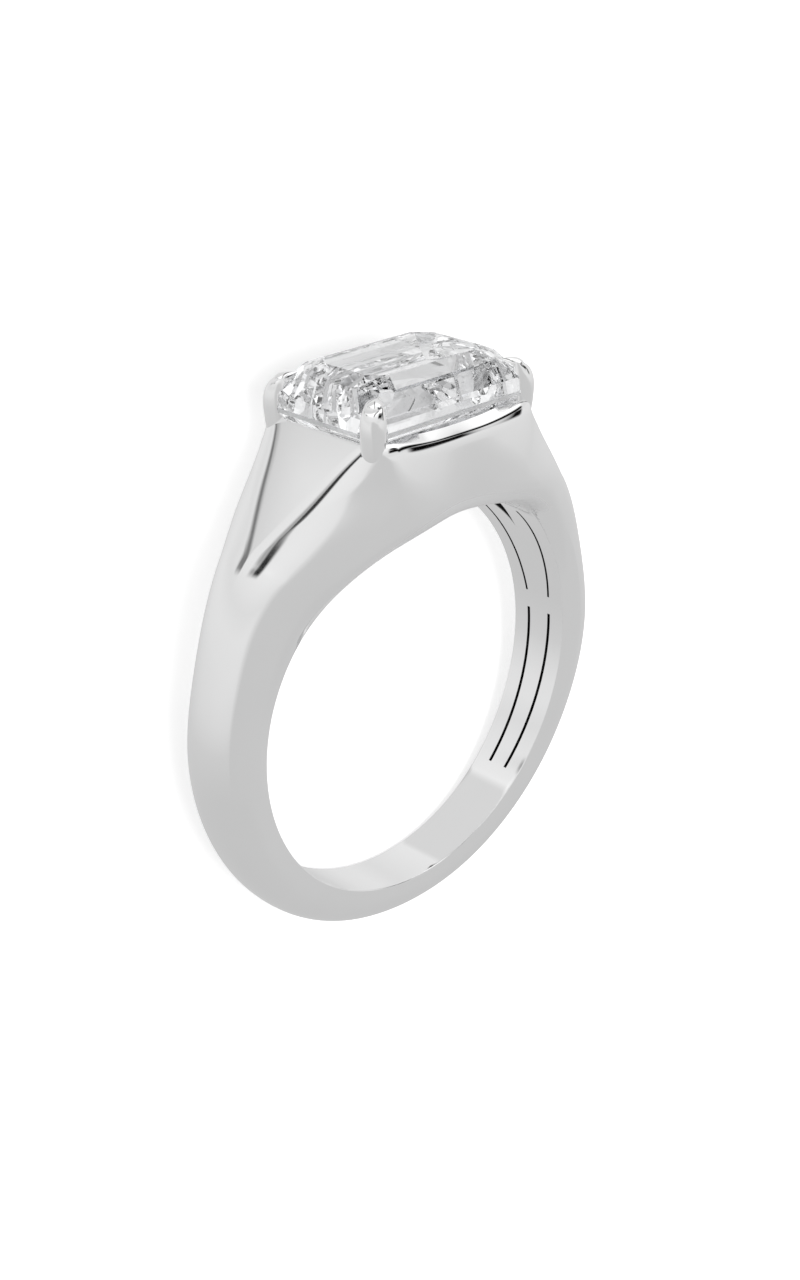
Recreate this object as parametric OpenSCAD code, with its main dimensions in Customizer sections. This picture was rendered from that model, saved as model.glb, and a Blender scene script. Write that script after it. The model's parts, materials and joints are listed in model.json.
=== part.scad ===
// East west ring: one cast metal band with four claws, and one emerald-cut stone set lengthwise
// across the finger. Millimetres. The shapes are worked out upright, from the centre of the finger
// hole: x runs east to west along the stone, y along the finger and z up to the stone. lay_down()
// then turns the ring onto its side, the way it lies on a table by itself. Angles round the finger
// start at east and pass the stone at 90 degrees.

/* [Finger hole] */
// Inside diameter of the band, a US size 6
bore_d = 16.5; // [14:0.1:22]

/* [Band] */
// Width of the band at its foot, opposite the stone
foot_w = 2.33; // [1.6:0.01:4]
// Thickness of the band at its foot
foot_t = 1.5; // [1.1:0.01:3]
// Width of the band at its sides, level with the centre of the finger hole
side_w = 2.66; // [2:0.01:5]
// Thickness of the band at its sides
side_t = 2.03; // [1.3:0.01:4]
// Greatest width of the head along the finger, at the finger hole
head_w = 6.6; // [4:0.01:9]
// Straight part of the band's side wall, before it starts to round over
land_h = 0.64; // [0.2:0.01:1.2]

/* [Head] */
// Height of the stone's seat above the centre of the finger hole
seat_z = 11.66; // [10.8:0.01:13]
// Half length of the level top, from the middle to the start of the flat on each shoulder
seat_x = 3.91; // [3.4:0.01:5.5]
// Angle round the finger at which the flat on the shoulder comes to its point
flat_point = 45; // [38:1:54]
// How fast the flat widens towards the stone, half width over length
flat_spread = 0.52; // [0.3:0.01:0.56]
// Half width of the head's rounded sides at the level of the seat, in the middle
side_y = 3.22; // [3.1:0.01:3.4]
// How far the ledge beside the stone slopes down from the seat
ledge_drop = 0.46; // [0.1:0.01:0.7]
// Half length of that ledge
ledge_half = 3.3; // [2:0.01:3.8]

/* [Stone] */
// Length of the stone, across the finger
stone_l = 8.32; // [5:0.01:12]
// Width of the stone, along the finger
stone_w = 5.65; // [3:0.01:9]
// Leg of the cut corners at the girdle
corner = 0.75; // [0.3:0.01:1.5]
// Height of the girdle's lower edge above the centre of the finger hole
girdle_z = 11.83; // [11:0.01:14]
// Thickness of the girdle
girdle_t = 0.17; // [0.05:0.01:0.4]
// Height of the crown above the girdle
crown_h = 1.58; // [0.5:0.01:2]
// Depth of the pavilion below the girdle
pavilion_h = 2.56; // [1.5:0.01:3.5]
// Gap kept between the stone and the metal
fit_gap = 0.03; // [0.01:0.01:0.1]

/* [Claws] */
// Distance of each claw's axis from the middle, along the stone
claw_x = 3.81; // [3:0.01:6]
// Distance of each claw's axis from the middle, along the finger
claw_y = 2.49; // [1.5:0.01:5]
// Diameter of a claw at its thickest
claw_d = 0.98; // [0.6:0.01:1.5]
// Height of the claw tips above the centre of the finger hole
claw_top = 13.3; // [12:0.01:15]
// Reach of the claw tip in over the stone
claw_reach = 0.6; // [0.2:0.01:1.2]

/* [Inside] */
// Width of the fine grooves inside the band
groove_w = 0.13; // [0.1:0.01:0.4]
// Depth of the grooves
groove_t = 0.25; // [0.1:0.01:0.5]
// Half length of the hollow under the head
hollow_x = 6.67; // [4:0.01:7.5]
// Half width of that hollow at its middle
hollow_y = 1.75; // [1:0.01:2.6]
// Depth of the hollow
hollow_t = 1.1; // [0.5:0.01:1.4]

/* [Hidden] */
bore_r = bore_d / 2;

// The shoulder flat is a plane; this is the angle of its normal and its distance from the axis.
foot_x = 7.69;
foot_z = foot_x * tan(flat_point);
flat_angle = atan2(foot_x - seat_x, seat_z - foot_z);
flat_r = foot_x * cos(flat_angle) + foot_z * sin(flat_angle);
seat_angle = atan2(seat_z, seat_x);
point_r = flat_r / cos(flat_point - flat_angle);

// Half width of the band where it meets the finger hole, by angle.
inner_edge = [[-90, foot_w / 2], [-60, foot_w / 2], [-30, 1.26], [0, side_w / 2], [20, 1.45],
    [40, 1.77], [60, 2.56], [75, 3.33], [90, head_w / 2 - 0.02]];
// Swell of the side walls beyond that edge, by angle.
swell = [[-90, 0], [-30, 0.02], [0, 0.18], [30, 0.2], [45, 0.44], [55, 0.76], [65, 0.62], [75, 0.24], [90, 0]];
// Outside radius along the middle of the band, up to the point of the flat.
crest = [[-90, bore_r + foot_t], [-60, bore_r + 1.675], [-30, bore_r + 1.853], [0, bore_r + side_t],
    [20, 10.34], [flat_point, point_r]];

// Smooth value from a two column table, with level ends.
function seg(tab, x, i = 0) = i >= len(tab) - 2 || x < tab[i + 1][0] ? i : seg(tab, x, i + 1);
function slope(tab, i) = i <= 0 || i >= len(tab) - 1 ? 0
    : (tab[i + 1][1] - tab[i - 1][1]) / (tab[i + 1][0] - tab[i - 1][0]);
function blend(tab, i, u) = let(h = tab[i + 1][0] - tab[i][0])
    tab[i][1] * (2 * u ^ 3 - 3 * u ^ 2 + 1) + h * slope(tab, i) * (u ^ 3 - 2 * u ^ 2 + u)
    + tab[i + 1][1] * (3 * u ^ 2 - 2 * u ^ 3) + h * slope(tab, i + 1) * (u ^ 3 - u ^ 2);
function smooth(tab, x) = let(i = seg(tab, x)) blend(tab, i, (x - tab[i][0]) / (tab[i + 1][0] - tab[i][0]));

// Outside radius on the middle plane, and half width of the flat, at an angle t.
function top_r(t) = t <= flat_point ? smooth(crest, t)
    : t <= seat_angle ? flat_r / cos(t - flat_angle) : seat_z / sin(t);
function along(t) = flat_r * (tan(t - flat_angle) - tan(flat_point - flat_angle));
function flat_y(t) = min(side_y - 0.05, max(0.08, flat_spread * along(t) + 0.06 * min(1, along(t) / 0.6)));
end_y = flat_y(seat_angle);

// Half width of the top where the rounded side meets it. Over the head it runs on smoothly from the flat.
head_bend = flat_spread * seat_x / ((side_y - end_y) * cos(flat_angle));
function seat_part(t) = abs(seat_z / tan(t) / seat_x);
function half_top(t) = t <= flat_point ? 0.08 : t <= seat_angle ? flat_y(t)
    : side_y - (side_y - end_y) * seat_part(t) ^ head_bend;

// How far the ledge takes the top of the side down, measured along the radius.
function drop(t) = t <= seat_angle ? 0
    : ledge_drop * max(0, 1 - (seat_z / tan(t) / ledge_half) ^ 2) / sin(t);

// Half of a section across the band at an angle t, from inside the finger hole to the middle of the top.
curve_n = 7;
function half_section(t) = let(
    w = smooth(inner_edge, t), b = w + smooth(swell, t), r0 = bore_r + land_h,
    u0 = sqrt(1 - min(half_top(t), 0.995 * b) / b), rv = (top_r(t) - r0) / (2 * u0 - u0 * u0),
    u1 = drop(t) == 0 ? u0 : 1 - sqrt(1 - (top_r(t) - drop(t) - r0) / rv), y1 = b * (1 - u1 * u1),
    y2 = t <= seat_angle ? 0.7 * y1 : min(0.97 * y1, 2.8))
    concat([[w, bore_r - 0.6], [w, bore_r + 0.1]],
        [for (k = [0:curve_n]) let(u = u1 * k / curve_n) [b * (1 - u * u), r0 + rv * (2 * u - u * u)]],
        [[y2, top_r(t)]]);
function section(t) = let(h = half_section(t), n = len(h))
    concat(h, [[0, top_r(t)]], [for (k = [n - 1:-1:0]) [-h[k][0], h[k][1]]]);

// Angles of the sections round the band.
steps = concat([for (t = [-90:5:30]) t], [for (t = [32.5:2.5:90]) t]);
ring = concat(steps, [for (k = [len(steps) - 2:-1:1]) 180 - steps[k]]);
function place(t, p) = [p[1] * cos(t), p[0], p[1] * sin(t)];
function folded(t) = t > 90 ? 180 - t : t;

module band_blank() {
    rows = [for (t = ring) [for (p = section(folded(t))) place(t, p)]];
    m = len(rows[0]);
    n = len(rows);
    points = [for (row = rows) for (p = row) p];
    faces = [for (i = [0:n - 1]) for (k = [0:m - 1]) let(
        a = i * m + k, b = i * m + (k + 1) % m,
        c = ((i + 1) % n) * m + (k + 1) % m, d = ((i + 1) % n) * m + k)
        for (f = [[a, b, c], [a, c, d]]) f];
    polyhedron(points, faces, convexity = 10);
}

// One level of the stone: half length, half width, corner leg and height, grown by g.
function level(hl, hw, c, z, g) = [
    [hl + g, hw - c + 0.414 * g, z], [hl - c + 0.414 * g, hw + g, z],
    [-(hl - c + 0.414 * g), hw + g, z], [-(hl + g), hw - c + 0.414 * g, z],
    [-(hl + g), -(hw - c + 0.414 * g), z], [-(hl - c + 0.414 * g), -(hw + g), z],
    [hl - c + 0.414 * g, -(hw + g), z], [hl + g, -(hw - c + 0.414 * g), z]];
top_z = girdle_z + girdle_t;
// Steps of the cut: inset at the sides, inset at the ends, change of the corner leg, height.
cuts = [
    [2.785, 2.785, -0.73, girdle_z - pavilion_h], [1.6, 1.6, -0.4, girdle_z - 0.654 * pavilion_h],
    [0.7, 0.7, -0.2, girdle_z - 0.326 * pavilion_h], [0, 0, 0, girdle_z], [0, 0, 0, top_z],
    [0.09, 0.09, -0.13, top_z + 0.316 * crown_h], [0.485, 0.66, 0.2, top_z + 0.813 * crown_h],
    [1.175, 1.36, -0.15, top_z + crown_h]];

module stone_shape(g = 0) {
    last = len(cuts) - 1;
    rows = [for (k = [0:last]) level(stone_l / 2 - cuts[k][1], stone_w / 2 - cuts[k][0],
        corner + cuts[k][2], cuts[k][3] + (k == 0 ? -g : k == last ? g : 0), g)];
    points = [for (row = rows) for (p = row) p];
    sides = [for (i = [0:last - 1]) for (k = [0:7]) let(
        a = i * 8 + k, b = i * 8 + (k + 1) % 8)
        for (f = [[a, a + 8, b + 8], [a, b + 8, b]]) f];
    polyhedron(points, concat([[0, 1, 2, 3, 4, 5, 6, 7]], sides,
        [[for (k = [7:-1:0]) last * 8 + k]]), convexity = 4);
}

// A claw stands outside a cut corner and bends in over the crown towards the middle of the stone.
module claw(sx, sy) {
    inward = atan2(-sy * claw_y, -sx * claw_x);
    r = claw_d / 2;
    translate([sx * claw_x, sy * claw_y, 0]) {
        rotate_extrude($fn = 48)
            polygon([[0, 9.6], [0.5 * r, 9.6], [0.62 * r, 10.7], [0.86 * r, 11.4], [r, 12.1], [r, 12.6],
                [0.93 * r, claw_top - 0.36], [0.76 * r, claw_top - 0.2], [0.46 * r, claw_top - 0.08],
                [0, claw_top - 0.03]]);
        translate([0, 0, claw_top - 0.42]) rotate([0, 0, inward]) rotate([0, 78, 0])
            cylinder(h = claw_reach, r1 = 0.84 * r, r2 = 0.22 * r, $fn = 48);
    }
}

// A groove that runs round inside the band from one angle to another, dy from the middle, tilted by slant.
module groove(from, to, dy, slant) {
    rotate([slant, 0, 0]) translate([0, dy, 0]) {
        rotate([90, 0, 0]) rotate([0, 0, from]) rotate_extrude(angle = to - from, $fn = 180)
            translate([bore_r - 0.3, -groove_w / 2]) square([groove_t + 0.3, groove_w]);
        for (t = [from, to]) rotate([0, -t, 0]) translate([bore_r - 0.3, 0, 0]) rotate([0, 90, 0])
            cylinder(h = groove_t + 0.3, d = groove_w, $fn = 24);
    }
}

module grooves() {
    for (s = [-1, 1]) {
        for (span = [[-45.2, 4.6], [175.4, 225.2]]) groove(span[0], span[1], s * 0.545, s * -1.15);
        for (span = [[10.6, 47], [133, 169.4]]) groove(span[0], span[1], s * 0.446, s * -5.4);
    }
}

// The pointed hollow in the finger hole under the head, and the window from it to the stone.
module hollow() {
    arc_r = (hollow_x ^ 2 + hollow_y ^ 2) / (2 * hollow_y);
    intersection() {
        rotate([90, 0, 0]) cylinder(h = 8, r = bore_r + hollow_t, center = true, $fn = 180);
        translate([0, hollow_y - arc_r, 0]) cylinder(h = 12, r = arc_r, $fn = 360);
        translate([0, arc_r - hollow_y, 0]) cylinder(h = 12, r = arc_r, $fn = 360);
    }
    translate([-2.5, -1.15, bore_r]) cube([5, 2.3, 2.2]);
}

module lay_down() {
    translate([0, lay_y, lay_z]) rotate([lay_tilt - 90, 0, 0]) children();
}

// The ring tips over until the foot of the band and the side of the head both touch the table.
// Points are [height towards the stone, distance along the finger].
rest_pts = [for (t = steps) for (p = half_section(t)) if (p[1] >= bore_r) [p[1] * sin(t), p[0]]];
foot_pts = [for (p = rest_pts) if (p[0] < -0.8 * bore_r) p];
head_pts = [for (p = rest_pts) if (p[0] > 0) p];
function lean(q) = max([for (p = head_pts) atan2(p[1] - q[1], p[0] - q[0])]);
function under(q, a) = max([for (p = foot_pts) p[1] - q[1] - tan(a) * (p[0] - q[0])]);
lay_tilt = [for (q = foot_pts) let(a = lean(q)) if (under(q, a) < 1e-6) a][0];
lay_z = max([for (p = rest_pts) p[1] * cos(lay_tilt) - p[0] * sin(lay_tilt)]);
table_y = stone_w / 2 - cuts[len(cuts) - 1][0];
far_y = (top_z + crown_h) * cos(lay_tilt) + table_y * sin(lay_tilt);
near_y = min([for (p = rest_pts) p[0] * cos(lay_tilt) - p[1] * sin(lay_tilt)]);
lay_y = -(far_y + near_y) / 2;

module cast_band() {
    color([0.80, 0.80, 0.79]) lay_down() difference() {
        union() {
            band_blank();
            for (sx = [-1, 1]) for (sy = [-1, 1]) claw(sx, sy);
        }
        rotate([90, 0, 0]) cylinder(h = 12, r = bore_r, center = true, $fn = 180);
        grooves();
        hollow();
        stone_shape(fit_gap);
    }
}

module emerald_cut_stone() {
    color([0.90, 0.94, 0.96]) lay_down() stone_shape();
}

cast_band();
emerald_cut_stone();
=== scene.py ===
import json
import math
import bmesh
import bpy
import numpy as np
from mathutils import Matrix, Vector


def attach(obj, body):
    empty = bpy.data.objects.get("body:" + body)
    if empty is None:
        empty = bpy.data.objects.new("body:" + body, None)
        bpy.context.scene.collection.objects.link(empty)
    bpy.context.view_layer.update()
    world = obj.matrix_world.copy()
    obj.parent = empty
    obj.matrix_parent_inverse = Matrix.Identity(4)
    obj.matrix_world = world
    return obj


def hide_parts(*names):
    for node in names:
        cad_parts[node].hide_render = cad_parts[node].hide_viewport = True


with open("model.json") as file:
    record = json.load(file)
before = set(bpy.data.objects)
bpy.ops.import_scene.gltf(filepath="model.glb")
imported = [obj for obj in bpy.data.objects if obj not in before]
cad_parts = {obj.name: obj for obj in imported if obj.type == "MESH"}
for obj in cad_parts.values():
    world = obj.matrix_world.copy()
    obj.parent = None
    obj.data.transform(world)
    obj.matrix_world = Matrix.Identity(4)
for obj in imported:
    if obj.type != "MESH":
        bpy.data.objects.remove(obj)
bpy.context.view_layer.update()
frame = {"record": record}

# Where the ring lies. Its pieces are shaped upright, in millimetres from the centre of the finger hole, with
# x along the stone, y along the finger and z up to the stone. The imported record's finger hole says where the
# centre is and which way the finger points, and so how the ring lies on its side.
MM = 0.001
finger_hole = next(m for m in frame["record"]["mounts"] if m["name"] == "finger_hole")
bore_r = finger_hole["dims"]["r_mm"]
east = Vector((1, 0, 0))
finger_way = -Vector(finger_hole["axis"])
stone_way = east.cross(finger_way)
upright_to_lying = (Matrix.Translation(finger_hole["pos_m"])
                    @ Matrix((east, finger_way, stone_way)).transposed().to_4x4()
                    @ Matrix.Diagonal((MM, MM, MM, 1)))

# The band and head, cast in white gold in one piece. It is narrow at the foot and widens to the head. Each
# shoulder has a flat that runs up from a soft point to the stone, and each long side of the head a narrow
# sloping ledge. Its skin is lofted through sections across the band, one for each angle round the finger.
seat_x, seat_y, seat_z = 3.91, 2.8, 11.66  # the head's level top: half length, half width and height
ledge_y, ledge_drop, ledge_half = 3.22, 0.46, 3.3  # half width with the ledges, depth and half length of one
top_share = 0.97  # how much of the top's half width is level away from the ledges
waist_h = 0.64  # from the hole's wall out to the band's widest line
waist_share = 0.42  # how much of that is rounded into the side
most_of_top, most_of_side = 0.8, 0.4  # the most of each that the rounding between them takes
crest_half = 0.08
flat_spread = 0.52  # half width that the flat gains on its length, and what it gains more on its first run
flat_gain, flat_gain_run = 0.06, 0.6
flat_point = math.radians(45)
point_x = 7.69
point_z = point_x * math.tan(flat_point)
flat_angle = math.atan2(point_x - seat_x, seat_z - point_z)
flat_r = point_x * math.cos(flat_angle) + point_z * math.sin(flat_angle)
point_r = flat_r / math.cos(flat_point - flat_angle)
seat_angle = math.atan2(seat_z, seat_x)

# Two columns each: degrees round the finger from its side, and millimetres. The pinch is a share of the
# width, by which the band is drawn in under the flat's point.
inner_half_width = [(-90, 1.165), (-60, 1.165), (-30, 1.26), (0, 1.33), (20, 1.45), (40, 1.77),
                    (60, 2.56), (75, 3.33), (90, 3.28)]
side_swell = [(-90, 0), (-30, 0.02), (0, 0.18), (30, 0.2), (45, 0.44), (55, 0.76), (65, 0.62), (75, 0.24),
              (90, 0)]
crest_radius = [(-90, bore_r + 1.5), (-60, bore_r + 1.675), (-30, bore_r + 1.853), (0, bore_r + 2.03),
                (20, 10.34), (math.degrees(flat_point), point_r)]
side_softness = [(-90, 0.2), (38, 0.22), (48, 0.24), (58, 0.34), (69, 0.58), (75, 0.44), (90, 0.38)]
top_softness = [(-90, 0.2), (38, 0.16), (48, 0.2), (58, 0.46), (69, 0.62), (75, 0.24), (90, 0.17)]
rim_softness = [(-90, 0.06), (42, 0.07), (54, 0.2), (64, 0.34), (90, 0.34)]
crest_pinch = [(-90, 0), (22, 0), (42, 0.42), (50, 0.36), (62, 0), (90, 0)]

# How many points each stretch of half a section has, and the angles of the sections: 2 degrees apart round
# the foot, 1 on the shoulder and half a degree at the head.
points_on = {"hole": 8, "rim": 5, "wall": 4, "waist": 5, "side": 22, "edge": 9, "top": 10}
quarter = np.radians(np.r_[np.arange(-90, 20, 2), np.arange(20, 38, 1), np.arange(38, 90.01, 0.5)])


def smooth(table, x):
    """A smooth value from a two column table, with level ends."""
    xs, ys = np.array(table, float).T
    slope = np.zeros(len(xs))
    slope[1:-1] = (ys[2:] - ys[:-2]) / (xs[2:] - xs[:-2])
    i = int(np.clip(np.searchsorted(xs, x, side="right") - 1, 0, len(xs) - 2))
    h = xs[i + 1] - xs[i]
    u = (x - xs[i]) / h
    return (ys[i] * (2 * u**3 - 3 * u**2 + 1) + h * slope[i] * (u**3 - 2 * u**2 + u)
            + ys[i + 1] * (3 * u**2 - 2 * u**3) + h * slope[i + 1] * (u**3 - u**2))


def eased(table, x):
    """The smooth value again, evened out over a few degrees so that no ripple shows in the polish."""
    return float(np.mean([smooth(table, 90 - abs(90 - (x + step))) for step in range(-6, 7, 2)]))


def top_radius(t):
    """Outside radius on the band's middle line."""
    if t <= flat_point:
        return smooth(crest_radius, math.degrees(t))
    return flat_r / math.cos(t - flat_angle) if t <= seat_angle else seat_z / math.sin(t)


def flat_half_width(t):
    """Half width of the shoulder's flat, which opens a little faster just above its point."""
    along = flat_r * (math.tan(t - flat_angle) - math.tan(flat_point - flat_angle))
    return max(crest_half, flat_spread * along + flat_gain * min(1, along / flat_gain_run))


def top_half_width(t):
    """Half width of the top where the rounded side of the band comes up to it."""
    if t <= seat_angle:
        return crest_half if t <= flat_point else flat_half_width(t)
    short = ledge_y - flat_half_width(seat_angle)
    power = flat_spread * seat_x / (short * math.cos(flat_angle))
    return ledge_y - short * abs(seat_z / math.tan(t) / seat_x) ** power


def length(line):
    """Length of a line of points."""
    return float(np.linalg.norm(np.diff(line, axis=0), axis=1).sum())


def walk(line, distances):
    """Points at these distances along a line of points."""
    steps = np.r_[0, np.cumsum(np.linalg.norm(np.diff(line, axis=0), axis=1))]
    return np.column_stack([np.interp(distances, steps, line[:, k]) for k in (0, 1)])


def rounded_corner(start, corner, end, n):
    """Points of a curve that leaves start towards the corner and comes to end from it."""
    u = np.linspace(0, 1, n + 2)[1:-1, None]
    return (1 - u) ** 2 * start + 2 * u * (1 - u) * corner + u**2 * end


def half_section(t):
    """Half a section at the angle t, from the middle of the hole's wall round to the middle of the top.

    The wall leans out from the hole to the widest line, the waist. From there the side is a parabola up to
    the edge of the top. At a ledge it stops lower, and every corner is rounded.
    """
    degrees = math.degrees(t)
    inner = eased(inner_half_width, degrees)
    widest = inner + eased(side_swell, degrees)
    waist_r = bore_r + waist_h
    top_r = top_radius(t)
    almost_widest = 0.995 * widest
    u_edge = math.sqrt(1 - min(top_half_width(t), almost_widest) / widest)
    rise = (top_r - waist_r) / (2 * u_edge - u_edge * u_edge)
    if t > seat_angle:
        drop = ledge_drop * max(0, 1 - (seat_z / math.tan(t) / ledge_half) ** 2)
        u_edge = 1 - math.sqrt(1 - (top_r - drop / math.sin(t) - waist_r) / rise)
    u = np.linspace(0, u_edge, 60)
    hole = np.array([(0, bore_r), (inner, bore_r)])
    wall = np.array([(inner, bore_r), (widest, waist_r)])
    pinched = 1 - smooth(crest_pinch, degrees) * u**8
    side = np.column_stack((widest * (1 - u * u) * pinched, waist_r + rise * (2 * u - u * u)))
    edge = side[-1]
    top = np.array([edge, (min(top_share * edge[0], seat_y), top_r), (0, top_r)])
    waist = waist_share * length(wall)
    rim = smooth(rim_softness, degrees)
    soft_top = min(smooth(top_softness, degrees), most_of_top * length(top))
    side_end = length(side) - min(smooth(side_softness, degrees), most_of_side * length(side))
    rim_start, rim_end = walk(hole, [inner - rim])[0], walk(wall, [rim])[0]
    waist_start, waist_end = walk(wall, [length(wall) - waist])[0], walk(side, [waist])[0]
    edge_start, edge_end = walk(side, [side_end])[0], walk(top, [soft_top])[0]
    return np.concatenate([
        walk(hole, np.linspace(0, inner - rim, points_on["hole"])),
        rounded_corner(rim_start, wall[0], rim_end, points_on["rim"]),
        walk(wall, np.linspace(rim, length(wall) - waist, points_on["wall"])),
        rounded_corner(waist_start, wall[1], waist_end, points_on["waist"]),
        walk(side, np.linspace(waist, side_end, points_on["side"])),
        rounded_corner(edge_start, edge, edge_end, points_on["edge"]),
        walk(top, np.linspace(soft_top, length(top), points_on["top"])),
    ])


def shape(name, points, faces):
    """A new object with this mesh, its faces turned outwards."""
    mesh = bpy.data.meshes.new(name)
    mesh.from_pydata([tuple(p) for p in points], [], faces)
    obj = bpy.data.objects.new(name, mesh)
    bpy.context.scene.collection.objects.link(obj)
    return face_outwards(obj)


def face_outwards(obj):
    """Merges what coincides in the object's mesh and points its faces outwards."""
    work = bmesh.new()
    work.from_mesh(obj.data)
    bmesh.ops.remove_doubles(work, verts=work.verts, dist=1e-5)
    bmesh.ops.recalc_face_normals(work, faces=work.faces)
    work.to_mesh(obj.data)
    work.free()
    return obj


def tube_faces(rows, per_row, closed):
    """Faces between rows of points that each run round, with the rows closed on themselves or capped."""
    faces = []
    for i in range(rows if closed else rows - 1):
        here, there = i * per_row, (i + 1) % rows * per_row
        for k in range(per_row):
            after = (k + 1) % per_row
            faces.append((here + k, here + after, there + after, there + k))
    if not closed:
        faces += [tuple(range(per_row)), tuple(range((rows - 1) * per_row, rows * per_row))]
    return faces


skin = []
for way_round, angles in ((1, quarter), (-1, quarter[::-1][1:-1])):
    for t in angles:
        half = half_section(t)
        y, r = np.concatenate((half, (half[1:-1] * (-1, 1))[::-1])).T
        skin.append(np.column_stack((way_round * r * math.cos(t), y, r * math.sin(t))))
band = shape("polished_ring", np.concatenate(skin), tube_faces(len(skin), len(skin[0]), True))


# The four claws, cast with the head at the stone's cut corners. Each is a stout rod that swells to its
# shoulder, with a domed cap drawn out to a soft point over the stone. One claw is made, and set on the
# corners of a grid.
class Wire:
    """A node's output. A sum with it lays the Math node that the sum stands for."""

    def __init__(self, bench, node, socket):
        self.bench, self.node, self.socket = bench, node, socket

    def __getitem__(self, name):
        return Wire(self.bench, self.node, self.node.outputs[name])

    def maths(self, operation, *values):
        return self.bench.lay("ShaderNodeMath", {"operation": operation}, dict(enumerate(values)))

    def __add__(self, other):
        return self.maths("ADD", self, other)

    def __sub__(self, other):
        return self.maths("SUBTRACT", self, other)

    def __rsub__(self, other):
        return self.maths("SUBTRACT", other, self)

    def __mul__(self, other):
        return self.maths("MULTIPLY", self, other)

    def __truediv__(self, other):
        return self.maths("DIVIDE", self, other)

    def __rtruediv__(self, other):
        return self.maths("DIVIDE", other, self)

    def __pow__(self, other):
        return self.maths("POWER", self, other)

    def __rpow__(self, other):
        return self.maths("POWER", other, self)

    def __abs__(self):
        return self.maths("ABSOLUTE", self)

    def __lt__(self, other):
        return self.maths("LESS_THAN", self, other)

    def __gt__(self, other):
        return self.maths("GREATER_THAN", self, other)

    def above(self, other):
        """The larger of the two."""
        return self.maths("MAXIMUM", self, other)

    def below(self, other):
        """The smaller of the two."""
        return self.maths("MINIMUM", self, other)

    def held(self):
        """The value, held between 0 and 1."""
        return self.above(0).below(1)

    __radd__ = __add__
    __rmul__ = __mul__


class Bench:
    """A node tree, and the one way that a node is laid in it."""

    def __init__(self, tree):
        self.tree = tree
        tree.nodes.clear()

    def lay(self, kind, settings={}, sockets={}, out=0):
        """A node of this kind, its settings made first. A list puts several wires in one socket."""
        node = self.tree.nodes.new(kind)
        for name, value in settings.items():
            if name == "stops":
                ramp = node.color_ramp
                while len(ramp.elements) < len(value):
                    ramp.elements.new(0.5)
                for stop, (place, grey) in zip(ramp.elements, value):
                    stop.position = place
                    stop.color = (grey, grey, grey, 1)
            elif name == "curve":
                line = node.mapping.curves[0]
                while len(line.points) < len(value):
                    line.points.new(0.5, 0.5)
                for point, place in zip(line.points, value):
                    point.location = place
                node.mapping.update()
            else:
                setattr(node, name, value)
        for name, value in sockets.items():
            for one in value if isinstance(value, list) else [value]:
                if isinstance(one, Wire):
                    self.tree.links.new(one.socket, node.inputs[name])
                else:
                    node.inputs[name].default_value = one
        return Wire(self, node, node.outputs[out] if node.outputs else None)

    def vector(self, **parts):
        """A vector with these parts of X, Y and Z."""
        return self.lay("ShaderNodeCombineXYZ", {}, parts)

    def vectors(self, operation, *values, out="Vector"):
        """Vector Math on these values."""
        return self.lay("ShaderNodeVectorMath", {"operation": operation}, dict(enumerate(values)), out)

    def mixed(self, factor, first, second):
        """A colour from the first at 0 to the second at 1."""
        colours = {"Factor": factor, "A": first, "B": second}
        return self.lay("ShaderNodeMix", {"data_type": "RGBA"}, colours, "Result")

    def scaled(self, vector, times):
        """The vector, so many times as long."""
        return self.lay("ShaderNodeVectorMath", {"operation": "SCALE"}, {0: vector, "Scale": times})


def modelling_tree(name, inputs):
    """A tree for a Geometry Nodes modifier, with named inputs: its bench and the wire of its inputs."""
    tree = bpy.data.node_groups.new(name, "GeometryNodeTree")
    tree.interface.new_socket("Geometry", in_out="OUTPUT", socket_type="NodeSocketGeometry")
    for label in inputs:
        tree.interface.new_socket(label, in_out="INPUT", socket_type="NodeSocketFloat")
    bench = Bench(tree)
    return bench, bench.lay("NodeGroupInput")


def finish_tree(bench, geometry, material):
    """Ends a tree in plain geometry with its material."""
    real = bench.lay("GeometryNodeRealizeInstances", {}, {"Geometry": geometry})
    painted = bench.lay("GeometryNodeSetMaterial", {}, {"Geometry": real, "Material": material})
    bench.lay("NodeGroupOutput", {}, {"Geometry": painted})


def grow(name, tree, values):
    """A plain mesh object, grown by the tree with these values for its named inputs."""
    obj = bpy.data.objects.new(name, bpy.data.meshes.new(name))
    bpy.context.scene.collection.objects.link(obj)
    modifier = obj.modifiers.new(name, "NODES")
    modifier.node_group = tree
    for socket in tree.interface.items_tree:
        if socket.in_out == "INPUT":
            modifier[socket.identifier] = float(values[socket.name])
    bpy.context.view_layer.update()
    obj.data = bpy.data.meshes.new_from_object(obj.evaluated_get(bpy.context.evaluated_depsgraph_get()))
    obj.modifiers.clear()
    return face_outwards(obj)


white_gold = bpy.data.materials.new("polished_white_gold")
claw_sizes = {
    "Distance along stone": 3.84, "Distance across stone": 2.52, "Thickness": 0.96, "Root height": 9.6,
    "Shoulder height": 12.98, "Bow": 0.16, "Cap width": 0.66, "Cap length": 1.0, "Cap thickness": 0.5,
    "Cap sunk": 0.13, "Cap tilt": 23}
cap_taper, cap_draw = 0.7, 1.4
swelling = [(0, 0.5), (0.3, 0.6), (0.45, 0.82), (0.6, 0.95), (0.77, 1.0), (0.86, 0.965), (0.93, 0.86),
            (1, 0.68)]
leaning = [(0, 0), (0.7, 0), (0.84, 0.2), (1, 1)]

bench, size = modelling_tree("claws", claw_sizes)
place = bench.lay("ShaderNodeSeparateXYZ", {}, {"Vector": bench.lay("GeometryNodeInputPosition")})
cap_tilt = size["Cap tilt"] * (math.pi / 180)

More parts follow.
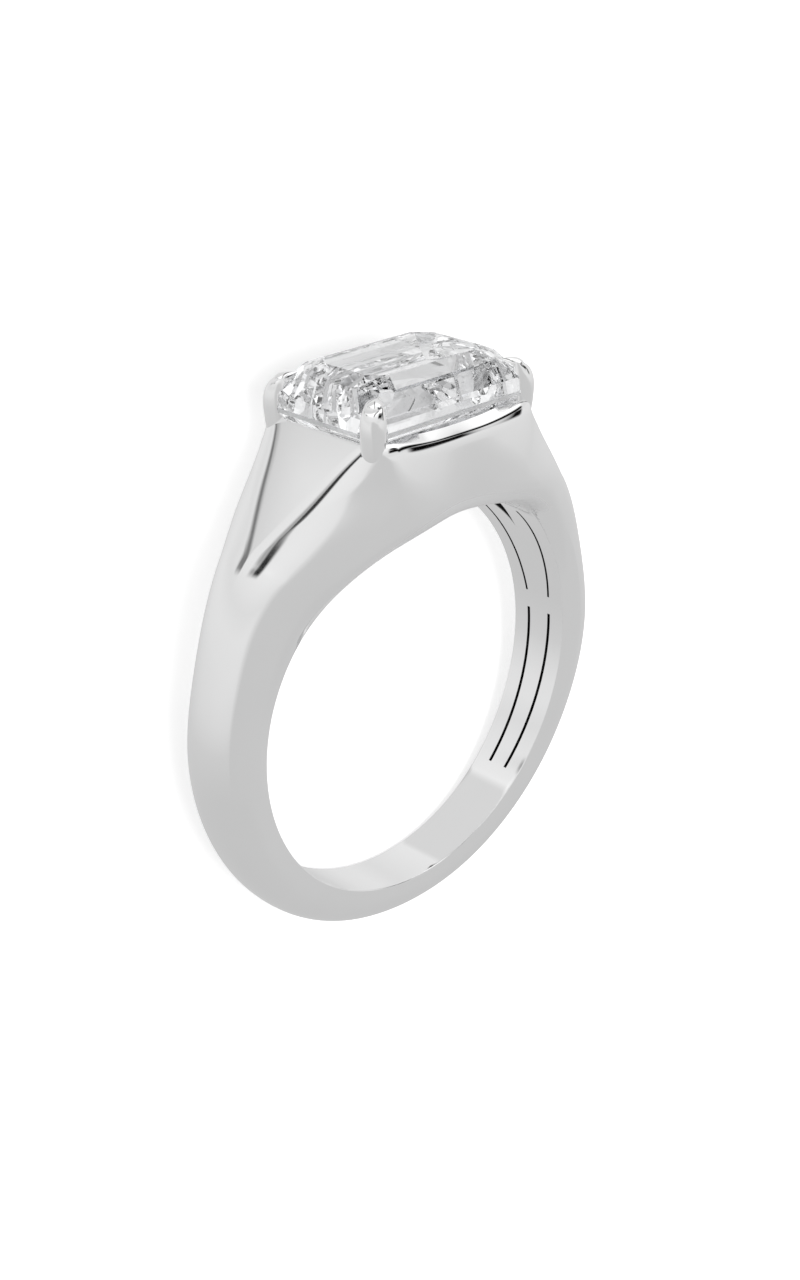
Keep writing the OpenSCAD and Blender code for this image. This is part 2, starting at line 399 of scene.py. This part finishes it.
spine = bench.lay("GeometryNodeCurvePrimitiveLine", {}, {
    "Start": bench.vector(Z=size["Root height"]), "End": bench.vector(Z=size["Shoulder height"])})
spine = bench.lay("GeometryNodeResampleCurve", {}, {"Curve": spine, "Count": 56})
part = bench.lay("GeometryNodeSplineParameter", {}, {}, "Factor")
thickness = bench.lay("ShaderNodeFloatCurve", {"curve": swelling}, {"Value": part})
disc = bench.lay("GeometryNodeCurvePrimitiveCircle", {}, {"Resolution": 48, "Radius": 1.0})
rod = bench.lay("GeometryNodeCurveToMesh", {}, {
    "Curve": spine, "Profile Curve": disc, "Scale": thickness * size["Thickness"] / 2, "Fill Caps": True})
height = (place["Z"] - size["Root height"]) / (size["Shoulder height"] - size["Root height"])
lean = bench.lay("ShaderNodeFloatCurve", {"curve": leaning}, {"Value": height})
slope = bench.lay("ShaderNodeMath", {"operation": "TANGENT"}, {0: cap_tilt})
rod = bench.lay("GeometryNodeSetPosition", {}, {
    "Geometry": rod, "Offset": bench.vector(X=lean * size["Bow"], Z=place["X"] * lean * slope)})

cap = bench.lay("GeometryNodeMeshUVSphere", {}, {"Segments": 64, "Rings": 40, "Radius": 0.5}, "Mesh")
inward = place["X"].above(0) * 2
taper = 1 - inward**2 * cap_taper
cap = bench.lay("GeometryNodeSetPosition", {}, {
    "Geometry": cap,
    "Position": bench.vector(
        X=place["X"] * size["Cap width"] + inward**cap_draw * (size["Cap length"] - size["Cap width"]),
        Y=place["Y"] * size["Cap width"] * taper,
        Z=place["Z"] * size["Cap thickness"] * taper - size["Cap sunk"])})
cap = bench.lay("GeometryNodeTransform", {}, {
    "Geometry": cap, "Translation": bench.vector(X=size["Bow"], Z=size["Shoulder height"]),
    "Rotation": bench.vector(Y=cap_tilt * -1)})
claw = bench.lay("GeometryNodeMeshBoolean", {"operation": "UNION", "solver": "EXACT"}, {
    "Mesh 2": [rod, cap]}, "Mesh")

corners = bench.lay("GeometryNodeMeshGrid", {}, {
    "Size X": size["Distance along stone"] * 2, "Size Y": size["Distance across stone"] * 2,
    "Vertices X": 2, "Vertices Y": 2})
to_middle = bench.scaled(bench.lay("GeometryNodeInputPosition"), -1.0)
facing = bench.lay("FunctionNodeAlignRotationToVector", {"axis": "X", "pivot_axis": "Z"}, {
    "Vector": to_middle})
claws = bench.lay("GeometryNodeInstanceOnPoints", {}, {
    "Points": corners, "Instance": claw, "Rotation": facing})
finish_tree(bench, claws, white_gold)
claws = grow("claws", bench.tree, claw_sizes)

# The stone, an emerald-cut diamond: three steps of crown, a thin frosted girdle and three steps of pavilion
# down to a keel. Every level is an octagon, and the facets run straight from one level to the next.
girdle_half_x, girdle_half_y = 4.16, 2.825
girdle_z, girdle_thickness = 11.915, 0.17
corner_growth = 0.586
stone_levels = [  # inset along, inset across, leg of the cut corner, height
    (2.785, 2.785, 0.02, 9.27),
    (1.6, 1.6, 0.35, 10.157),
    (0.7, 0.7, 0.55, 10.996),
    (0, 0, 0.75, girdle_z - girdle_thickness / 2),
    (0, 0, 0.75, girdle_z + girdle_thickness / 2),
    (0.09, 0.09, 0.62, 12.5),
    (0.66, 0.485, 0.95, 13.285),
    (1.36, 1.175, 0.6, 13.58)]


def stone_body(name, gap=0.0):
    """The cut stone, grown all round by a gap."""
    points = []
    for i, (inset_x, inset_y, leg, z) in enumerate(stone_levels):
        half_x, half_y = girdle_half_x - inset_x + gap, girdle_half_y - inset_y + gap
        leg += corner_growth * gap
        z += -gap if i == 0 else gap if i == len(stone_levels) - 1 else 0
        cut_corner = [(half_x, half_y - leg), (half_x - leg, half_y)]
        for sx, sy in ((1, 1), (-1, 1), (-1, -1), (1, -1)):
            pair = cut_corner if sx * sy > 0 else cut_corner[::-1]
            points += [(sx * x, sy * y, z) for x, y in pair]
    return shape(name, points, tube_faces(len(stone_levels), 8, False))


stone = stone_body("emerald_cut_diamond")
stone.data.transform(upright_to_lying)
stone.data.update()

diamond = bpy.data.materials.new("cut_diamond")
clear, frosted = (0.985, 0.99, 1.0, 1), (0.66, 0.67, 0.68, 1)
frost_reach = 1.02
diamond.use_nodes = True
bench = Bench(diamond.node_tree)
where = bench.lay("ShaderNodeTexCoord", {}, {}, "Object")
polish = bench.lay("ShaderNodeTexNoise", {}, {"Vector": where, "Scale": 3000.0, "Detail": 2.0})
girdle_middle = upright_to_lying @ Vector((0, 0, girdle_z))
from_girdle = bench.vectors("SUBTRACT", where, tuple(girdle_middle))
height = bench.vectors("DOT_PRODUCT", from_girdle, tuple(stone_way), out="Value")
frost = abs(height) < girdle_thickness / 2 * MM * frost_reach
shader = bench.lay("ShaderNodeBsdfPrincipled", {}, {
    "Base Color": bench.mixed(frost, clear, frosted), "Roughness": frost * 0.3 + polish * 0.004,
    "IOR": 2.42, "Transmission Weight": 1.0})
bench.lay("ShaderNodeOutputMaterial", {}, {"Surface": shader})
stone.data.materials.append(diamond)

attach(stone, "root")
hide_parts("emerald_cut_stone")

# The inside of the band: fine grooves that lighten it, in two pairs on each side of the finger, a pointed
# hollow under the head, a window from it up to the stone, and the stone's seat. All are cut out of the metal
# once the claws are on it.
groove_sizes = {"Start": 0, "Sweep": 0, "Width": 0, "Depth": 0.5, "Offset": 0, "Slant": 0}
groove_clearance = 0.25
grooves = [  # start and end in degrees, width, distance from the middle line, slant in degrees
    (-45.2, 4.6, 0.14, 0.545, 1.15),
    (10.6, 49, 0.1, 0.446, 5.4)]

bench, size = modelling_tree("groove", groove_sizes)
run = bench.lay("GeometryNodeCurveArc", {}, {
    "Resolution": 72, "Radius": bore_r + (size["Depth"] - groove_clearance) / 2,
    "Start Angle": size["Start"], "Sweep Angle": size["Sweep"]})
blade = bench.lay("GeometryNodeCurvePrimitiveQuadrilateral", {}, {
    "Width": size["Depth"] + groove_clearance, "Height": size["Width"]})
cutter = bench.lay("GeometryNodeCurveToMesh", {}, {
    "Curve": run, "Profile Curve": blade, "Fill Caps": True})
cutter = bench.lay("GeometryNodeTransform", {}, {
    "Geometry": cutter, "Rotation": (math.pi / 2, 0, 0), "Translation": bench.vector(Y=size["Offset"])})
cutter = bench.lay("GeometryNodeTransform", {}, {
    "Geometry": cutter, "Rotation": bench.vector(X=size["Slant"])})
finish_tree(bench, cutter, white_gold)

cutters = []
for side in (-1, 1):
    for start, end, width, offset, slant in grooves:
        for first in (start, 180 - end):
            cutters.append(grow("groove", bench.tree, {
                **groove_sizes, "Start": math.radians(first), "Sweep": math.radians(end - start),
                "Width": width, "Offset": side * offset, "Slant": math.radians(-side * slant)}))

hollow_x, hollow_y, hollow_depth = 6.67, 1.75, 1.1
hollow_floor = 3
hollow_power = 1.5
rib_turns = np.linspace(-1.5, 1.5, 61)
ribs = []
for x in hollow_x * np.sin(rib_turns):
    y = hollow_y * (1 - (x / hollow_x) ** 2) ** hollow_power
    roof = math.sqrt((bore_r + hollow_depth) ** 2 - x * x)
    ribs += [(x, -y, hollow_floor), (x, y, hollow_floor), (x, y, roof), (x, -y, roof)]
cutters.append(shape("pointed_hollow", ribs, tube_faces(len(rib_turns), 4, False)))

window_half_x, window_half_y = 2.5, 1.15
window_floor, window_top = bore_r, bore_r + 2.2
around = ((-1, -1), (1, -1), (1, 1), (-1, 1))
window = [(x * window_half_x, y * window_half_y, z)
          for z in (window_floor, window_top) for x, y in around]
cutters.append(shape("window", window, tube_faces(2, 4, False)))

stone_gap = 0.03
cutters.append(stone_body("seat", stone_gap))


def join_metal(base, tools, operation):
    """Adds the tools to the base or cuts them from it, and keeps the result as its plain mesh."""
    for tool in tools:
        modifier = base.modifiers.new(tool.name, "BOOLEAN")
        modifier.object, modifier.operation, modifier.solver = tool, operation, "MANIFOLD"
    bpy.context.view_layer.update()
    base.data = bpy.data.meshes.new_from_object(base.evaluated_get(bpy.context.evaluated_depsgraph_get()))
    base.modifiers.clear()
    for tool in tools:
        bpy.data.objects.remove(tool)


join_metal(band, [claws], "UNION")
join_metal(band, cutters, "DIFFERENCE")
band.data.transform(upright_to_lying)
band.data.update()
band.data.shade_smooth()
band.data.set_sharp_from_angle(angle=math.radians(28))

# The finish of the metal: rhodium-bright white gold, mirror polished. The wheel leaves faint drifts in the
# shine and hairlines too fine to count. It doesn't reach into the grooves or the hollow's lip, which stay
# dull. Their colour is also painted near black, as painted shade for the shade that falls in them. The
# underside of the head's flare stays softer.
bright, brighter, painted_shade = (0.885, 0.885, 0.886, 1), (0.915, 0.915, 0.917, 1), (0.03, 0.03, 0.03, 1)
dull_shade_start, dull_shade_blend, dull_shade_end, dull_shade_half_width = 0.01, 0.05, 0.3, 1.1
flare_start, flare_blend, flare_end, flare_fade = 2.2, 0.4, 0.7, 0.3
white_gold.use_nodes = True
bench = Bench(white_gold.node_tree)
where = bench.lay("ShaderNodeTexCoord", {}, {}, "Object")
drift = bench.lay("ShaderNodeTexNoise", {}, {"Vector": where, "Scale": 420.0, "Detail": 3.0})
drawn_out = bench.lay("ShaderNodeMapping", {}, {"Vector": where, "Scale": (1, 1, 14)})
hairs = bench.lay("ShaderNodeTexNoise", {}, {"Vector": drawn_out, "Scale": 2600.0, "Detail": 2.0})
waves = bench.lay("ShaderNodeBump", {}, {
    "Height": hairs * 0.3 + drift, "Strength": 0.02, "Distance": 0.00002})
from_hole = bench.vectors("SUBTRACT", where, tuple(finger_hole["pos_m"]))
along_finger = bench.vectors("DOT_PRODUCT", from_hole, tuple(finger_way), out="Value")
outward = bench.vectors("SUBTRACT", from_hole, bench.scaled(tuple(finger_way), along_finger))
radius = bench.vectors("LENGTH", outward, out="Value") / MM
across = abs(along_finger) / MM
# Painted shade: in the grooves and the hollow's lip the colour turns near black, and the same mask makes them
# dull.
dull_and_shaded = ((radius - (bore_r + dull_shade_start)) / dull_shade_blend).held()
dull_and_shaded = dull_and_shaded * (radius < bore_r + dull_shade_end) * (across < dull_shade_half_width)
under_flare = ((across - flare_start) / flare_blend).held()
under_flare = under_flare * ((bore_r + flare_end - radius) / flare_fade).held()
tone = bench.mixed(dull_and_shaded, bench.mixed(drift, bright, brighter), painted_shade)
shader = bench.lay("ShaderNodeBsdfPrincipled", {}, {
    "Base Color": tone, "Metallic": 1.0, "Normal": waves,
    "Roughness": drift * 0.05 + hairs * 0.03 + dull_and_shaded * 0.4 + under_flare * 0.3 + 0.03})
bench.lay("ShaderNodeOutputMaterial", {}, {"Surface": shader})
band.data.materials.clear()
band.data.materials.append(white_gold)

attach(band, "root")
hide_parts("cast_band")

# The studio: a plain white floor, one wide soft lamp over it, and a pale room with dark cards, which the
# polish and the stone mirror. The room is set out round the upright ring: heights go up to the stone.
floor_half = 2.0
floor = shape("floor", [(x * floor_half, y * floor_half, 0) for x, y in around], [(0, 1, 2, 3)])
paper = bpy.data.materials.new("white_paper")
paper.use_nodes = True
bench = Bench(paper.node_tree)
where = bench.lay("ShaderNodeTexCoord", {}, {}, "Object")
grain = bench.lay("ShaderNodeTexNoise", {}, {"Vector": where, "Scale": 300.0})
shader = bench.lay("ShaderNodeBsdfPrincipled", {}, {
    "Base Color": (0.9, 0.9, 0.9, 1), "Roughness": grain * 0.05 + 0.9, "Emission Color": (1, 1, 1, 1),
    "Emission Strength": 0.45})
bench.lay("ShaderNodeOutputMaterial", {}, {"Surface": shader})
floor.data.materials.append(paper)
floor.visible_glossy = False
floor.visible_transmission = False

room = bpy.data.worlds.new("room")
bpy.context.scene.world = room
room.use_nodes = True
bench = Bench(room.node_tree)
way = bench.lay("ShaderNodeTexCoord", {}, {}, "Generated")


def facing_of(direction):
    """How far the way looked in faces this direction, from -1 to 1."""
    return bench.vectors("DOT_PRODUCT", way, tuple(direction), out="Value")


def toward(azimuth, elevation):
    """A direction in the room, by degrees round from east and degrees up to the stone."""
    a, e = math.radians(azimuth), math.radians(elevation)
    return math.cos(e) * (math.cos(a) * east + math.sin(a) * finger_way) + math.sin(e) * stone_way


def greys(stops, value):
    """A run of greys between stops, for a value from -1 to 1."""
    ramp = bench.lay("ShaderNodeValToRGB", {"stops": stops}, {"Fac": value * 0.5 + 0.5})
    return bench.lay("ShaderNodeSeparateColor", {}, {"Color": ramp}, "Red")


def card(start, end, width, blur):
    """How much of a card from one direction to another is in the way looked, 1 on it and 0 off it."""
    a, b = toward(*start), toward(*end)
    middle = (a + b).normalized()
    along = (b - a).normalized()
    across = middle.cross(along)
    ahead = facing_of(middle)
    depth = ahead.above(0.05)
    half = math.tan(a.angle(b) / 2)
    wide = math.tan(math.radians(width) / 2)
    soft = math.tan(math.radians(blur))
    past_end = (abs(facing_of(along) / depth) - half) / soft
    past_side = (abs(facing_of(across) / depth) - wide) / soft
    return (0.5 - past_end).held() * (0.5 - past_side).held() * (ahead > 0.1)


# The room's walls are palest above the stone. One grey screen shades the lower half of the near side, and
# reaches higher in the west. Another hangs high on the far side.
wall_greys = [(0.0, 0.60), (0.18, 0.61), (0.33, 0.67), (0.42, 0.76), (0.5, 0.82), (0.58, 0.84),
              (0.68, 0.79), (0.85, 0.9), (0.93, 1.2), (1.0, 1.4)]
screen_greys = [(0.0, 0.61), (0.44, 0.63), (0.485, 0.65), (0.51, 0.70), (0.535, 0.79), (0.57, 0.86),
                (0.65, 1.0)]
walls = greys(wall_greys, facing_of(stone_way))
near_screen = greys(screen_greys, facing_of(toward(2, 70)).below(facing_of(toward(5, 58))))
near_side = (facing_of(toward(-80, 0)) * 1.4 + 0.35).held()
far_screen = 0.74
far_side = ((facing_of(toward(85, 50)) - 0.8) * 8).held()
walls = walls.below(near_screen + (1 - near_side) * 0.5).below(far_screen + (1 - far_side))

# Each dark card: its start and its end, in degrees round and up, its width and blur in degrees, and how dark
# it is. Four stand on the near side and four on the far side, and the last runs over the top.
dark_cards = [
    ((-24, 30), (-68, 23), 13, 5, 1),
    ((-37, 22), (-44, 6), 12, 5, 1),
    ((-62, 29), (-90, 38), 15, 5, 1),
    ((-64, 38), (-78, 54), 14, 6, 1),
    ((109, 36), (120.5, 28.5), 6.5, 4.5, 0.76),
    ((106, 40), (117.6, 38), 16, 1.6, 0.13),
    ((135, 39), (141, 41.6), 6, 4, 0.55),
    ((139.5, 41.6), (150, 44.2), 7, 3.5, 0.97),
    ((45, 40), (-135, 50), 5, 1.5, 1)]
shadow = 0
for start, end, width, blur, darkness in dark_cards:
    shadow = (card(start, end, width, blur) * darkness).above(shadow)

# A soft glow stands high on the near side. Light that has come through the stone meets paler cards and a
# room that is a little brighter.
glow = card((-60, 50), (0, 50), 26, 8) * 0.4
through_stone = bench.lay("ShaderNodeLightPath", {}, {}, "Is Transmission Ray")
light = (walls + glow) * (1 - shadow * (1 - through_stone * 0.6)) * (through_stone * 0.15 + 1)
light = bench.lay("ShaderNodeCombineColor", {}, {"Red": light, "Green": light, "Blue": light})
backdrop = bench.lay("ShaderNodeBackground", {}, {"Color": light, "Strength": 1.0})
bench.lay("ShaderNodeOutputWorld", {}, {"Surface": backdrop})

lamp_width, lamp_height, lamp_watts = 0.5, 0.6, 1.2
lamp = bpy.data.lights.new("soft_lamp", "AREA")
lamp.shape, lamp.size, lamp.energy = "DISK", lamp_width, lamp_watts
soft_lamp = bpy.data.objects.new("soft_lamp", lamp)
bpy.context.scene.collection.objects.link(soft_lamp)
soft_lamp.location = (0, 0, lamp_height)
soft_lamp.visible_glossy = False
soft_lamp.visible_transmission = False

# The camera, at the photograph's angle to the ring, close up with a normal lens. Its distance is in
# millimetres from the centre of the finger hole. Light may bounce often, because it crosses the stone many
# times before it comes out.
azimuth, elevation, roll = math.radians(-44.919), math.radians(26.85), math.radians(-0.284)
camera_distance = 71.586
level = math.cos(elevation)
back = Vector((math.sin(azimuth) * level, -math.cos(azimuth) * level, math.sin(elevation)))
right = Vector((math.cos(azimuth), math.sin(azimuth), 0))
up = back.cross(right)
right, up = math.cos(roll) * right + math.sin(roll) * up, math.cos(roll) * up - math.sin(roll) * right
lens = bpy.data.cameras.new("camera")
lens.lens, lens.sensor_width, lens.clip_start = 50.70, 36, 0.001
lens.shift_x, lens.shift_y = -0.00134, 0.03616
camera = bpy.data.objects.new("camera", lens)
bpy.context.scene.collection.objects.link(camera)
turn = upright_to_lying.to_3x3().normalized() @ Matrix((right, up, back)).transposed()
camera.matrix_world = Matrix.Translation(upright_to_lying @ (back * camera_distance)) @ turn.to_4x4()
bpy.context.scene.camera = camera
bpy.context.scene.view_settings.view_transform = "Standard"
bounces = bpy.context.scene.cycles
bounces.max_bounces = bounces.glossy_bounces = bounces.transmission_bounces = 24
